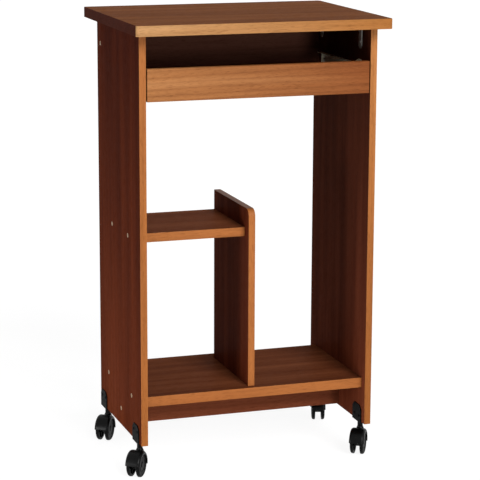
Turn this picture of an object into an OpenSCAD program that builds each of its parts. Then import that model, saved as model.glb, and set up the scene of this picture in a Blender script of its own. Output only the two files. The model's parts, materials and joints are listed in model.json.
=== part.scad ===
// Rolling computer desk: a laminated board cabinet with an overhanging top, a half
// shelf on a divider, a full bottom shelf, a keyboard tray on roller runners and
// four swivelling twin-wheel casters. Millimetres, +Z up, front towards -Y,
// origin on the floor under the middle of the top.

/* [Top] */
// Height of the top's upper face over the floor
desk_h = 800; // [700:10:900]
// Width of the top
top_w = 460; // [450:5:700]
// Depth of the top
top_d = 360; // [340:5:500]
// Thickness of the top
top_t = 18; // [15:1:25]
// Plan radius of the top's corners
top_corner_r = 6; // [3:1:20]
// Overhang of the top past the cabinet's front edges
top_front_overhang = 36; // [10:2:60]

/* [Cabinet] */
// Width over the two side panels
cabinet_w = 432; // [420:4:640]
// Depth of the side panels
side_d = 280; // [260:5:400]
// Thickness of the side panels
side_t = 12; // [12:1:18]
// Thickness of the edging strips
edging_t = 1; // [0.5:0.1:2]
// Height of the back rail
rail_h = 92; // [70:2:120]
// Thickness of the back rail
rail_t = 12; // [10:1:18]
// Distance from the panels' back edge to the back rail
rail_back_inset = 15; // [5:1:30]
// Height of the kick rail's lower edge over the side panels' lower edge
kick_lift = 3; // [0:1:10]
// Thickness of the kick rail
kick_t = 16; // [10:1:20]
// Distance from the panels' front edge to the kick rail
kick_inset = 128; // [60:2:150]

/* [Shelves] */
// Height of the bottom shelf's upper face over the floor
bottom_shelf_z = 144; // [120:2:180]
// Thickness of the bottom shelf
bottom_shelf_t = 18; // [15:1:25]
// Distance from the panels' front edge to the bottom shelf
bottom_shelf_inset = 16; // [4:1:30]
// Depth of the bottom shelf
bottom_shelf_d = 240; // [220:2:246]
// Height of the half shelf's upper face over the floor
half_shelf_z = 430; // [300:5:520]
// Thickness of the half shelf
half_shelf_t = 16; // [15:1:25]
// Distance from the panels' front edge to the half shelf
half_shelf_inset = 50; // [40:1:60]
// Depth of the half shelf
half_shelf_d = 174; // [150:2:180]
// Thickness of the divider
divider_t = 12; // [12:1:18]
// Distance from the desk's middle plane to the divider's left face
divider_left = 10; // [0:1:60]
// Distance from the panels' front edge to the divider
divider_inset = 28; // [20:1:40]
// Depth of the divider
divider_d = 200; // [194:2:220]
// Height of the divider over the half shelf
divider_rise = 36; // [20:1:80]
// Radius of the divider's upper front corner
divider_corner_r = 14; // [5:1:20]

/* [Keyboard tray] */
// Height of the fascia
fascia_h = 56; // [40:2:80]
// Thickness of the fascia
fascia_t = 12; // [10:1:18]
// Height of the fascia's lower edge over the floor
fascia_z = 667; // [640:1:668]
// Gap between each end of the fascia and its side panel
fascia_gap = 2; // [1:0.5:4]
// Height of the tray board's upper face over the fascia's lower edge
tray_lift = 29; // [26:1:32]
// Thickness of the tray board
tray_t = 12; // [10:1:16]
// Depth of the tray board
tray_d = 224; // [190:2:236]

/* [Roller runners] */
// Space that a runner pair takes between a side panel and the tray board
runner_space = 12.5; // [12.5:0.1:14]
// Thickness of the runners' sheet steel
sheet_t = 1.2; // [1:0.1:1.4]
// Length of a cabinet runner
cabinet_runner_l = 220; // [210:2:222]
// Length of a tray runner
tray_runner_l = 178; // [150:2:190]
// Radius of the nylon rollers
roller_r = 10; // [9:0.2:10.2]
// Width of the nylon rollers
roller_w = 6.4; // [5:0.1:6.6]
// Radius of the rivets that the rollers turn on
rivet_r = 2.5; // [2:0.1:3]
// Setback of the front roller's axis behind the panels' front edge
front_roller_inset = 30; // [29:1:34]

/* [Casters] */
// Height of the side panels' lower edge over the floor
caster_h = 60; // [58:1:80]
// Radius of the wheels
wheel_r = 22.5; // [21:0.5:26]
// Width of one wheel
wheel_w = 6.2; // [6:0.1:8]
// Distance between the two wheels of a caster
wheel_gap = 12; // [10:0.1:14]
// Trail of the wheels' axle behind the swivel axis
trail = 18; // [17:0.5:22]
// Wall thickness of the hood
hood_wall = 1.2; // [1:0.1:2]
// Distance from the panels' front edge to the front swivel axes
caster_front_inset = 34; // [28:1:50]
// Distance from the panels' back edge to the rear swivel axes
caster_back_inset = 26; // [24:1:50]
// Width of the caster brackets along the panel's edge
bracket_w = 40; // [36:1:50]
// Height of the bracket legs over the panel's lower edge
bracket_leg = 31; // [26:1:40]
// Thickness of the bracket's plate
bracket_t = 2; // [1.5:0.1:2]

/* [Hidden] */
$fn = 48;
// A cut runs this far past the face that it opens
eps = 1;
face_color = [0.32, 0.16, 0.10];
edge_color = [0.72, 0.45, 0.24];
runner_color = [0.80, 0.77, 0.66];
steel_color = [0.70, 0.70, 0.70];
caster_color = [0.10, 0.10, 0.10];

// Cabinet planes
front_y = -top_d / 2 + top_front_overhang;
back_y = front_y + side_d;
side_x = cabinet_w / 2;
inner_x = side_x - side_t;
under_top = desk_h - top_t;
side_h = under_top - caster_h;
rail_y = back_y - rail_back_inset - rail_t;
kick_y = front_y + kick_inset;
kick_z = caster_h + kick_lift;
kick_h = bottom_shelf_z - bottom_shelf_t - kick_z;
bottom_shelf_y = front_y + bottom_shelf_inset;
half_shelf_y = front_y + half_shelf_inset;
half_shelf_w = inner_x - divider_left;
divider_y = front_y + divider_inset;
divider_x = -divider_left + divider_t / 2;
divider_top = half_shelf_z + divider_rise;

// Connector screws: head flush in the panel, straight shank, short point
connector_r = 2.5;
connector_head_r = 4;
connector_head_h = 2.5;
connector_l = 42;
connector_key_r = 2;
connector_key_depth = 2;
connector_tip_r = 1;
bottom_screw_front_inset = 49;
bottom_screw_back_inset = 34;
half_screw_front_inset = 32;
half_screw_back_inset = 36;
divider_foot_inset = 30;
rail_screw_drop = 42;
kick_screw_rise = 28;
bottom_screw_ys = [bottom_shelf_y + bottom_screw_front_inset,
                   bottom_shelf_y + bottom_shelf_d - bottom_screw_back_inset];
half_screw_ys = [half_shelf_y + half_screw_front_inset,
                 half_shelf_y + half_shelf_d - half_screw_back_inset];
divider_foot_ys = [divider_y + divider_foot_inset, divider_y + divider_d - divider_foot_inset];
half_screw_z = half_shelf_z - half_shelf_t / 2;
bottom_screw_z = bottom_shelf_z - bottom_shelf_t / 2;
shared_side_screws = [
  [rail_y + rail_t / 2, under_top - rail_screw_drop],
  [bottom_screw_ys[0], bottom_screw_z],
  [bottom_screw_ys[1], bottom_screw_z],
  [kick_y + kick_t / 2, kick_z + kick_screw_rise]
];
left_side_screws = concat(shared_side_screws, [for (y = half_screw_ys) [y, half_screw_z]]);

// Dowels between the top and the side panels
dowel_r = 3;
dowel_up = 10;
dowel_down = 14;
dowel_inset = 70;
dowel_ys = [front_y + dowel_inset, back_y - dowel_inset];

// Small pan-head screws
screw_r = 1.5;
screw_head_r = 3;
screw_head_h = 1;
screw_l = 9;
slot_w = 0.8;
slot_depth = 0.5;

// Angle brackets under the top
angle_t = 2;
angle_w = 15;
angle_drop = 42;
angle_reach = 25;
angle_front_inset = 47;
angle_ys = [front_y + angle_front_inset, rail_y - angle_w];
angle_screw_drop = 30;
angle_screw_reach = 16;

// Runner sections. The cabinet runner is a channel on the panel that opens inwards.
// The tray runner stands on the tray's edge, and its flange lies over the front roller.
run_gap = 0.3;
tray_top = fascia_z + tray_lift;
tray_w = 2 * (inner_x - runner_space);
tray_y = front_y + fascia_t;
roller_rise = 4;
roller_z = tray_top + roller_rise;
channel_floor = roller_z - roller_r - run_gap;
flange_under = roller_z + roller_r + run_gap;
roof_gap = 0.6;
channel_roof = flange_under + sheet_t + roof_gap;
channel_depth = 9.5;
channel_back = channel_roof + sheet_t;
runner_setback = 6;
cabinet_runner_y = tray_y + runner_setback;
roof_inset = 60;
roof_start = front_y + roof_inset;
ear_inset = 51;
ear_rise = 8;
ear_r = 30;
ear_sides = 96;
front_roller_y = front_y + front_roller_inset;
rear_roller_end = 10;
rear_roller_y = tray_y + tray_runner_l - rear_roller_end;
roller_start = 2.8;
roller_bore_play = 0.05;
roller_edge = 0.5;
roller_recess = 1;
roller_rim = 2.5;
roller_hub_r = 4.2;
tray_flange_start = 3;
tray_foot_w = 18;
channel_screw_z = (channel_floor + channel_roof) / 2;
ear_screw_rise = 2.6;
ear_screw_z = channel_back + ear_screw_rise;
runner_screw_middle = 106;
runner_screw_end = 14;
runner_screw_ys = [cabinet_runner_y + runner_screw_middle,
                   cabinet_runner_y + cabinet_runner_l - runner_screw_end];
tray_screw_shares = [0.2, 0.5, 0.8];
tray_screw_ys = [for (share = tray_screw_shares) tray_y + tray_runner_l * share];
tray_screw_x = tray_w / 2 - tray_foot_w / 2;

// Angle brackets under the tray, in the corner of the tray and its fascia
fascia_leg = 16;
fascia_bracket_w = 14;
fascia_bracket_inset = 40;
fascia_bracket_x = tray_w / 2 - fascia_bracket_inset;
fascia_screw_at = 10;

// Casters
caster_x = side_x - side_t / 2;
caster_y_front = front_y + caster_front_inset;
caster_y_rear = back_y - caster_back_inset;
// Turn of each caster about its stem, as the desk was last pushed
turn_front_left = -35;
turn_front_right = -32;
turn_rear_left = -33;
turn_rear_right = -18;
axle_r = 2.5;
axle_play = 0.05;
axle_end = 0.8;
wheel_out = wheel_gap / 2 + wheel_w;
rim_t = 4;
tread_round = 1;
shoulder_round = 3.4;
disc_t = 1.8;
disc_inset = 1;
wheel_hub_r = 6.5;
cap_r = 5;
cap_edge = 0.8;
ring_r = 12;
ring_t = 1.2;
ring_rise = 0.6;
wheel_ribs = 6;
rib_t = 1.2;
rib_inset = 1;
hood_play = 1;
hood_in = wheel_r + hood_play;
hood_out = hood_in + hood_wall;
cheek_play = 0.5;
cheek_depth = 5;
hood_half = wheel_out + cheek_play + hood_wall;
hood_round = 5;
hood_from = -12;
hood_to = 174;
web_half = 3;
boss_r = 8.5;
boss_play = 0.5;
stem_collar_r = 6;
stem_collar_t = 1.5;
neck_play = 0.8;
neck_top = caster_h - bracket_t - stem_collar_t - neck_play;
neck_flare_top = 8;
neck_flare = 7;
neck_root = 6;
neck_r = 5;
neck_base_r = 8;
stem_r = 3.5;
stem_play = 0.05;
stem_seat = 11;
stem_spigot_r = 3;
end_gap = 0.3;
bracket_cut = 8;
bracket_screw_x = 11;
bracket_outer_screw_z = 20;
bracket_inner_screw_z = 10;

// A board with its lowest corner at the given place
module board(at, size) {
  translate(at) cube(size);
}

// Plan outline with true round corners
module round_plan(w, d, r) {
  square([w - 2 * r, d], center = true);
  square([w, d - 2 * r], center = true);
  for (x = [-1, 1], y = [-1, 1])
    translate([x * (w / 2 - r), y * (d / 2 - r)]) circle(r);
}

// A profile drawn in Y and Z, given a thickness in X about the middle plane
module across_x(t) {
  rotate([90, 0, 90]) linear_extrude(t, center = true) children();
}

// Connector screw along +Z from the outer face at z = 0
module connector_body() {
  cylinder(h = connector_head_h, r1 = connector_head_r, r2 = connector_r);
  cylinder(h = connector_l - connector_r, r = connector_r);
  translate([0, 0, connector_l - connector_r])
    cylinder(h = connector_r, r1 = connector_r, r2 = connector_tip_r);
}

module connector_screw() {
  difference() {
    connector_body();
    translate([0, 0, -eps])
      cylinder(h = eps + connector_key_depth, r = connector_key_r, $fn = 6);
  }
}

module at_left_panel() {
  for (p = left_side_screws) translate([-side_x, p[0], p[1]]) rotate([0, 90, 0]) children();
}

module at_right_panel() {
  for (p = shared_side_screws) translate([side_x, p[0], p[1]]) rotate([0, -90, 0]) children();
}

module at_divider_face() {
  for (y = half_screw_ys)
    translate([divider_x + divider_t / 2, y, half_screw_z]) rotate([0, -90, 0]) children();
}

module at_divider_foot() {
  for (y = divider_foot_ys)
    translate([divider_x, y, bottom_shelf_z - bottom_shelf_t]) children();
}

module at_dowels(x) {
  for (y = dowel_ys) translate([x, y, under_top - dowel_down]) children();
}

module dowel() {
  cylinder(h = dowel_up + dowel_down, r = dowel_r);
}

// Pan-head screw along +Z, with the seat of its head at z = 0
module pan_screw() {
  difference() {
    union() {
      translate([0, 0, -screw_head_h]) cylinder(h = screw_head_h, r = screw_head_r);
      cylinder(h = screw_l, r = screw_r);
    }
    translate([0, 0, -screw_head_h])
      cube([2 * screw_head_r, slot_w, 2 * slot_depth], center = true);
  }
}

module pan_bore() {
  translate([0, 0, -eps]) cylinder(h = screw_l + eps, r = screw_r);
}

// Places of the screws in the four top angle brackets: one leg on the panel,
// the other under the top
module at_angle_side_screws(side) {
  for (y = angle_ys)
    translate([side * (inner_x - angle_t), y, under_top - angle_screw_drop])
      rotate([0, side * 90, 0]) children();
}

module at_angle_top_screws(side) {
  for (y = angle_ys)
    translate([side * (inner_x - angle_screw_reach), y, under_top - angle_t]) children();
}

// Places of the screws that hold a cabinet runner on its panel
module at_runner_screws(side) {
  for (p = concat([[front_y + ear_inset, ear_screw_z]],
                  [for (y = runner_screw_ys) [y, channel_screw_z]]))
    translate([side * (inner_x - sheet_t), p[0], p[1]]) rotate([0, side * 90, 0]) children();
}

module at_tray_runner_screws(side) {
  for (y = tray_screw_ys)
    translate([side * tray_screw_x, y, tray_top - tray_t - sheet_t]) children();
}

// Places of the two screws in each fascia bracket
module at_fascia_back_screws() {
  for (side = [-1, 1])
    translate([side * fascia_bracket_x, tray_y + angle_t, tray_top - tray_t - fascia_screw_at])
      rotate([90, 0, 0]) children();
}

module at_fascia_tray_screws() {
  for (side = [-1, 1])
    translate([side * fascia_bracket_x, tray_y + fascia_screw_at, tray_top - tray_t - angle_t])
      children();
}

// Places of a bracket's screws: the outer pair is higher than the inner pair
module at_caster_screws(x, y) {
  side = sign(x);
  for (k = [-1, 1]) {
    translate([side * (side_x + bracket_t), y + k * bracket_screw_x,
               caster_h + bracket_outer_screw_z])
      rotate([0, -side * 90, 0]) children();
    translate([side * (inner_x - bracket_t), y + k * bracket_screw_x,
               caster_h + bracket_inner_screw_z])
      rotate([0, side * 90, 0]) children();
  }
}

module top_board() {
  color(face_color)
    difference() {
      translate([0, 0, under_top])
        linear_extrude(top_t)
          round_plan(top_w - 2 * edging_t, top_d - 2 * edging_t, top_corner_r - edging_t);
      for (side = [-1, 1]) {
        at_dowels(side * caster_x) dowel();
        at_angle_top_screws(side) pan_bore();
      }
    }
}

// The edging runs all round the top
module top_edging() {
  color(edge_color)
    translate([0, 0, under_top])
      linear_extrude(top_t)
        difference() {
          round_plan(top_w, top_d, top_corner_r);
          round_plan(top_w - 2 * edging_t, top_d - 2 * edging_t, top_corner_r - edging_t);
        }
}

// Side panel on the +X side for side = 1, on the -X side for side = -1
module side_panel(side) {
  difference() {
    board([side * (side_x - side_t / 2) - side_t / 2, front_y + edging_t, caster_h],
          [side_t, side_d - edging_t, side_h]);
    if (side < 0) at_left_panel() connector_body();
    if (side > 0) at_right_panel() connector_body();
    at_dowels(side * caster_x) dowel();
    at_angle_side_screws(side) pan_bore();
    at_runner_screws(side) pan_bore();
    for (y = [caster_y_front, caster_y_rear]) at_caster_screws(side * caster_x, y) pan_bore();
  }
}

module left_side_panel() {
  color(face_color) side_panel(-1);
}

module right_side_panel() {
  color(face_color) side_panel(1);
}

module side_edging(side) {
  board([side * (side_x - side_t / 2) - side_t / 2, front_y, caster_h],
        [side_t, edging_t, side_h]);
}

module left_side_edging() {
  color(edge_color) side_edging(-1);
}

module right_side_edging() {
  color(edge_color) side_edging(1);
}

module back_rail() {
  color(face_color)
    difference() {
      board([-inner_x, rail_y, under_top - rail_h], [2 * inner_x, rail_t, rail_h]);
      at_left_panel() connector_body();
      at_right_panel() connector_body();
    }
}

module kick_rail() {
  color(face_color)
    difference() {
      board([-inner_x, kick_y, kick_z], [2 * inner_x, kick_t, kick_h]);
      at_left_panel() connector_body();
      at_right_panel() connector_body();
    }
}

module bottom_shelf() {
  color(face_color)
    difference() {
      board([-inner_x, bottom_shelf_y + edging_t, bottom_shelf_z - bottom_shelf_t],
            [2 * inner_x, bottom_shelf_d - edging_t, bottom_shelf_t]);
      at_left_panel() connector_body();
      at_right_panel() connector_body();
      at_divider_foot() connector_body();
    }
}

module bottom_shelf_edging() {
  color(edge_color)
    board([-inner_x, bottom_shelf_y, bottom_shelf_z - bottom_shelf_t],
          [2 * inner_x, edging_t, bottom_shelf_t]);
}

// Side view of the divider, with its upper front corner rounded.
// skin is what the edging takes from the front and the top.
module divider_outline(skin) {
  r = divider_corner_r - skin;
  y = divider_y + skin;
  depth = divider_d - skin;
  height = divider_top - bottom_shelf_z - skin;
  translate([y, bottom_shelf_z]) {
    translate([r, 0]) square([depth - r, height]);
    square([depth, height - r]);
    translate([r, height - r]) circle(r);
  }
}

module divider_panel() {
  color(face_color)
    difference() {
      translate([divider_x, 0, 0]) across_x(divider_t) divider_outline(edging_t);
      at_divider_face() connector_body();
      at_divider_foot() connector_body();
    }
}

// One strip runs up the front, round the corner and back along the top
module divider_edging() {
  color(edge_color)
    translate([divider_x, 0, 0])
      across_x(divider_t)
        difference() {
          divider_outline(0);
          divider_outline(edging_t);
        }
}

module half_shelf() {
  color(face_color)
    difference() {
      board([-inner_x, half_shelf_y + edging_t, half_shelf_z - half_shelf_t],
            [half_shelf_w, half_shelf_d - edging_t, half_shelf_t]);
      at_left_panel() connector_body();
      at_divider_face() connector_body();
    }
}

module half_shelf_edging() {
  color(edge_color)
    board([-inner_x, half_shelf_y, half_shelf_z - half_shelf_t],
          [half_shelf_w, edging_t, half_shelf_t]);
}

module connector_screws() {
  color(steel_color) {
    at_left_panel() connector_screw();
    at_right_panel() connector_screw();
    at_divider_face() connector_screw();
    at_divider_foot() connector_screw();
  }
}

module top_dowels() {
  color("burlywood") for (side = [-1, 1]) at_dowels(side * caster_x) dowel();
}

// Steel angle with a rounded foot, in the corner of a panel and the top
module angle_bracket(side) {
  leg = inner_x - angle_t / 2;
  difference() {
    union() {
      translate([side * leg, 0, under_top - angle_drop / 2 + angle_w / 4])
        cube([angle_t, angle_w, angle_drop - angle_w / 2], center = true);
      translate([side * leg, 0, under_top - angle_drop + angle_w / 2])
        rotate([0, 90, 0]) cylinder(h = angle_t, r = angle_w / 2, center = true);
      translate([side * (inner_x - angle_reach / 2), 0, under_top - angle_t / 2])
        cube([angle_reach, angle_w, angle_t], center = true);
    }
    translate([side * leg, 0, under_top - angle_screw_drop])
      rotate([0, 90, 0]) cylinder(h = angle_t + eps, r = screw_r, center = true);
    translate([side * (inner_x - angle_screw_reach), 0, under_top - angle_t / 2])
      cylinder(h = angle_t + eps, r = screw_r, center = true);
  }
}

module top_angle_brackets() {
  color(steel_color) for (side = [-1, 1], y = angle_ys) translate([0, y, 0]) angle_bracket(side);
}

module angle_bracket_screws() {
  color(steel_color)
    for (side = [-1, 1]) {
      at_angle_side_screws(side) pan_screw();
      at_angle_top_screws(side) pan_screw();
    }
}

// Cabinet runner, drawn for the +X side: a channel with a floor and a roof, a
// raised ear for its front screw and the rivet of the front roller
module cabinet_runner(side) {
  wall_h = channel_back - channel_floor + sheet_t;
  wall_x = inner_x - sheet_t;
  ear_y = front_y + ear_inset;
  mirror([side < 0 ? 1 : 0, 0, 0]) {
    difference() {
      union() {
        board([wall_x, cabinet_runner_y, channel_floor - sheet_t],
              [sheet_t, cabinet_runner_l, wall_h]);
        intersection() {
          translate([wall_x + sheet_t / 2, ear_y, channel_back + ear_rise - ear_r])
            rotate([0, 90, 0]) cylinder(h = sheet_t, r = ear_r, center = true, $fn = ear_sides);
          board([wall_x, ear_y - ear_r, channel_back - eps],
                [sheet_t, 2 * ear_r, ear_rise + 2 * eps]);
        }
        board([inner_x - channel_depth, cabinet_runner_y, channel_floor - sheet_t],
              [channel_depth, cabinet_runner_l, sheet_t]);
        board([inner_x - channel_depth, roof_start, channel_roof],
              [channel_depth, cabinet_runner_y + cabinet_runner_l - roof_start, sheet_t]);
        translate([wall_x, front_roller_y, roller_z])
          rotate([0, -90, 0]) cylinder(h = channel_depth - sheet_t, r = rivet_r);
      }
      at_runner_screws(1) pan_bore();
    }
  }
}

module left_cabinet_runner() {
  color(runner_color) cabinet_runner(-1);
}

module right_cabinet_runner() {
  color(runner_color) cabinet_runner(1);
}

// Nylon roller about the X axis, from its outer face at x = 0 inwards
module roller() {
  rotate([0, -90, 0])
    difference() {
      union() {
        translate([0, 0, roller_edge]) cylinder(h = roller_w - 2 * roller_edge, r = roller_r);
        cylinder(h = roller_w, r = roller_r - roller_edge);
      }
      translate([0, 0, -eps]) cylinder(h = roller_w + 2 * eps, r = rivet_r + roller_bore_play);
      for (z = [-eps, roller_w - roller_recess])
        translate([0, 0, z])
          difference() {
            cylinder(h = roller_recess + eps, r = roller_r - roller_rim);
            cylinder(h = roller_recess + eps, r = roller_hub_r);
          }
    }
}

module roller_at(side, y) {
  mirror([side < 0 ? 1 : 0, 0, 0]) translate([inner_x - roller_start, y, roller_z]) roller();
}

module left_cabinet_roller() {
  color("ivory") roller_at(-1, front_roller_y);
}

module right_cabinet_roller() {
  color("ivory") roller_at(1, front_roller_y);
}

module cabinet_runner_screws() {
  color(steel_color) for (side = [-1, 1]) at_runner_screws(side) pan_screw();
}

module tray_board() {
  color(face_color)
    difference() {
      board([-tray_w / 2, tray_y, tray_top - tray_t], [tray_w, tray_d, tray_t]);
      for (side = [-1, 1]) at_tray_runner_screws(side) pan_bore();
      at_fascia_tray_screws() pan_bore();
    }
}

fascia_w = 2 * (inner_x - fascia_gap);

module tray_fascia() {
  color(edge_color)
    difference() {
      board([-fascia_w / 2 + edging_t, front_y, fascia_z + edging_t],
            [fascia_w - 2 * edging_t, fascia_t, fascia_h - 2 * edging_t]);
      at_fascia_back_screws() pan_bore();
    }
}

// Edging all round the fascia's four narrow sides
module fascia_edging() {
  color(edge_color)
    translate([0, front_y + fascia_t, fascia_z + fascia_h / 2])
      rotate([90, 0, 0])
        linear_extrude(fascia_t)
          difference() {
            square([fascia_w, fascia_h], center = true);
            square([fascia_w - 2 * edging_t, fascia_h - 2 * edging_t], center = true);
          }
}

// Steel angle with its corner at the origin, one leg under the tray and one down the fascia
module fascia_bracket() {
  difference() {
    union() {
      board([-fascia_bracket_w / 2, 0, -angle_t], [fascia_bracket_w, fascia_leg, angle_t]);
      board([-fascia_bracket_w / 2, 0, -fascia_leg], [fascia_bracket_w, angle_t, fascia_leg]);
    }
    translate([0, fascia_screw_at, -angle_t / 2])
      cylinder(h = angle_t + eps, r = screw_r, center = true);
    translate([0, angle_t / 2, -fascia_screw_at])
      rotate([90, 0, 0]) cylinder(h = angle_t + eps, r = screw_r, center = true);
  }
}

module fascia_brackets() {
  color(steel_color)
    for (side = [-1, 1])
      translate([side * fascia_bracket_x, tray_y, tray_top - tray_t]) fascia_bracket();
}

module fascia_bracket_screws() {
  color(steel_color) {
    at_fascia_back_screws() pan_screw();
    at_fascia_tray_screws() pan_screw();
  }
}

// Tray runner, drawn for the +X side: a wall on the tray's edge, a foot under the
// tray, a flange outwards over the rollers and the rivet of the rear roller
module tray_runner(side) {
  wall_x = tray_w / 2;
  foot_z = tray_top - tray_t - sheet_t;
  mirror([side < 0 ? 1 : 0, 0, 0]) {
    difference() {
      union() {
        board([wall_x, tray_y, foot_z], [sheet_t, tray_runner_l, flange_under + sheet_t - foot_z]);
        board([wall_x - tray_foot_w, tray_y, foot_z], [tray_foot_w, tray_runner_l, sheet_t]);
        board([wall_x, tray_y, flange_under],
              [runner_space - tray_flange_start, tray_runner_l, sheet_t]);
        translate([wall_x + sheet_t, rear_roller_y, roller_z])
          rotate([0, 90, 0]) cylinder(h = runner_space - sheet_t - roller_start, r = rivet_r);
      }
      at_tray_runner_screws(1) pan_bore();
    }
  }
}

module left_tray_runner() {
  color(runner_color) tray_runner(-1);
}

module right_tray_runner() {
  color(runner_color) tray_runner(1);
}

module left_tray_roller() {
  color("ivory") roller_at(-1, rear_roller_y);
}

module right_tray_roller() {
  color("ivory") roller_at(1, rear_roller_y);
}

module tray_runner_screws() {
  color(steel_color) for (side = [-1, 1]) at_tray_runner_screws(side) pan_screw();
}

// Steel bracket that straddles the panel's lower edge, about the swivel axis
module caster_bracket() {
  half = side_t / 2;
  difference() {
    union() {
      board([-half - bracket_t, -bracket_w / 2, caster_h - bracket_t],
            [side_t + 2 * bracket_t, bracket_w, bracket_t]);
      for (s = [-1, 1])
        translate([s * (half + bracket_t / 2), 0, caster_h - bracket_t])
          across_x(bracket_t)
            polygon([
              [-bracket_w / 2, 0],
              [bracket_w / 2, 0],
              [bracket_w / 2, bracket_t + bracket_leg - bracket_cut],
              [bracket_w / 2 - bracket_cut, bracket_t + bracket_leg],
              [-bracket_w / 2 + bracket_cut, bracket_t + bracket_leg],
              [-bracket_w / 2, bracket_t + bracket_leg - bracket_cut]
            ]);
    }
    translate([0, 0, caster_h - bracket_t - eps])
      cylinder(h = bracket_t + 2 * eps, r = stem_spigot_r);
  }
}

module bracket_at(x, y) {
  color(caster_color)
    difference() {
      translate([x, y, 0]) caster_bracket();
      at_caster_screws(x, y) pan_bore();
    }
}

// Steel stem: a spigot in the bracket, a collar under it and the swivel pin
module caster_stem() {
  pin_foot = neck_top - stem_seat + end_gap;
  color(steel_color) {
    translate([0, 0, pin_foot]) cylinder(h = caster_h - bracket_t - pin_foot, r = stem_r);
    translate([0, 0, caster_h - bracket_t - stem_collar_t])
      cylinder(h = stem_collar_t, r = stem_collar_r);
    translate([0, 0, caster_h - bracket_t]) cylinder(h = bracket_t, r = stem_spigot_r);
  }
}

// Frame of the wheels' axle: the axle along X, the swivel axis a trail's length behind
module on_axle() {
  translate([0, -trail, wheel_r]) rotate([0, 90, 0]) children();
}

// Half section of a body of revolution about the axle, with two rounded shoulders
module barrel(low, out, half, shoulder) {
  intersection() {
    translate([low, -half]) square([out - low, 2 * half]);
    union() {
      translate([low, -half]) square([out - shoulder - low, 2 * half]);
      translate([low, shoulder - half]) square([out - low, 2 * (half - shoulder)]);
      for (side = [-1, 1])
        translate([out - shoulder, side * (half - shoulder)]) circle(shoulder);
    }
  }
}

// Cross-section of the hood: a thin wall over both wheels with cheeks at their sides
module hood_section() {
  low = hood_in - cheek_depth;
  difference() {
    barrel(low, hood_out, hood_half, hood_round);
    barrel(low - eps, hood_in, wheel_out + cheek_play, hood_round - hood_wall);
  }
}

// Plan of the web, about the axle: what of the hood's disc lies behind its front lip
module web_plan() {
  reach = 3 * hood_out;
  intersection() {
    circle(hood_in + hood_wall / 2);
    polygon([
      [0, 0],
      [-reach * sin(hood_from), reach * cos(hood_from)],
      [-reach, reach],
      [-reach, -reach],
      [-reach * sin(hood_to), reach * cos(hood_to)]
    ]);
  }
}

// The neck, with a flare down to the hood
module neck() {
  flare_top = neck_top - neck_flare_top;
  translate([0, 0, flare_top]) cylinder(h = neck_flare_top, r = neck_r);
  translate([0, 0, flare_top - neck_flare])
    cylinder(h = neck_flare, r1 = neck_base_r, r2 = neck_r);
  translate([0, 0, flare_top - neck_flare - neck_root]) cylinder(h = neck_root, r = neck_base_r);
}

// Moulded hood: the shell, the web between the wheels with the axle boss, and the
// neck that turns on the stem
module caster_hood() {
  color(caster_color)
    difference() {
      union() {
        on_axle()
          rotate([0, 0, 90 + hood_from])
            rotate_extrude(angle = hood_to - hood_from) hood_section();
        on_axle() linear_extrude(2 * web_half, center = true) web_plan();
        on_axle() cylinder(h = wheel_gap - 2 * boss_play, r = boss_r, center = true);
        difference() {
          neck();
          on_axle() cylinder(h = 2 * hood_half, r = hood_in, center = true);
        }
      }
      on_axle() cylinder(h = wheel_gap, r = axle_r, center = true);
      translate([0, 0, neck_top - stem_seat])
        cylinder(h = stem_seat + eps, r = stem_r + stem_play);
    }
}

module caster_axle() {
  color(steel_color)
    on_axle() cylinder(h = 2 * (wheel_out - disc_inset - axle_end), r = axle_r, center = true);
}

// Half section of a wheel's rim: radius, then distance from its inner face
module rim_section() {
  intersection() {
    union() {
      square([wheel_r - tread_round, wheel_w - shoulder_round]);
      square([wheel_r - shoulder_round, wheel_w]);
      translate([0, tread_round]) square([wheel_r, wheel_w - tread_round - shoulder_round]);
      translate([wheel_r - tread_round, tread_round]) circle(tread_round);
      translate([wheel_r - shoulder_round, wheel_w - shoulder_round]) circle(shoulder_round);
    }
    translate([wheel_r - rim_t, 0]) square([rim_t, wheel_w]);
  }
}

// Half section of the whole wheel: rim, disc, raised ring, hub and its domed cap
module wheel_section() {
  face = wheel_w - disc_inset;
  difference() {
    union() {
      rim_section();
      translate([0, face - disc_t]) square([wheel_r - rim_t + eps, disc_t]);
      translate([ring_r, face - eps]) square([ring_t, eps + ring_rise]);
      square([wheel_hub_r, face]);
      square([cap_r - cap_edge, wheel_w]);
      square([cap_r, wheel_w - cap_edge]);
      translate([cap_r - cap_edge, wheel_w - cap_edge]) circle(cap_edge);
    }
    translate([-eps, -eps]) square([axle_r + axle_play + eps, face - axle_end + end_gap + eps]);
    translate([-wheel_r, -eps]) square([wheel_r, wheel_w + 2 * eps]);
  }
}

// Ribs on the wheel's open inner side, from the hub to the rim
module wheel_rib_pattern() {
  depth = wheel_w - disc_inset - disc_t / 2 - rib_inset;
  for (k = [1 : wheel_ribs])
    rotate([0, 0, k * 360 / wheel_ribs])
      board([wheel_hub_r - eps, -rib_t / 2, rib_inset],
            [wheel_r - rim_t / 2 - wheel_hub_r + eps, rib_t, depth]);
}

// The inner and outer wheels face opposite ways on one axle
module caster_wheel(way) {
  color(caster_color)
    on_axle()
      mirror([0, 0, way < 0 ? 1 : 0])
        translate([0, 0, wheel_gap / 2]) {
          rotate_extrude() wheel_section();
          wheel_rib_pattern();
        }
}

// Turns a caster's swivelling pieces about its stem
module swivel_at(x, y, turn) {
  translate([x, y, 0]) rotate([0, 0, turn]) children();
}

module caster_bracket_screws() {
  color(steel_color)
    for (side = [-1, 1], y = [caster_y_front, caster_y_rear])
      at_caster_screws(side * caster_x, y) pan_screw();
}

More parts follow.
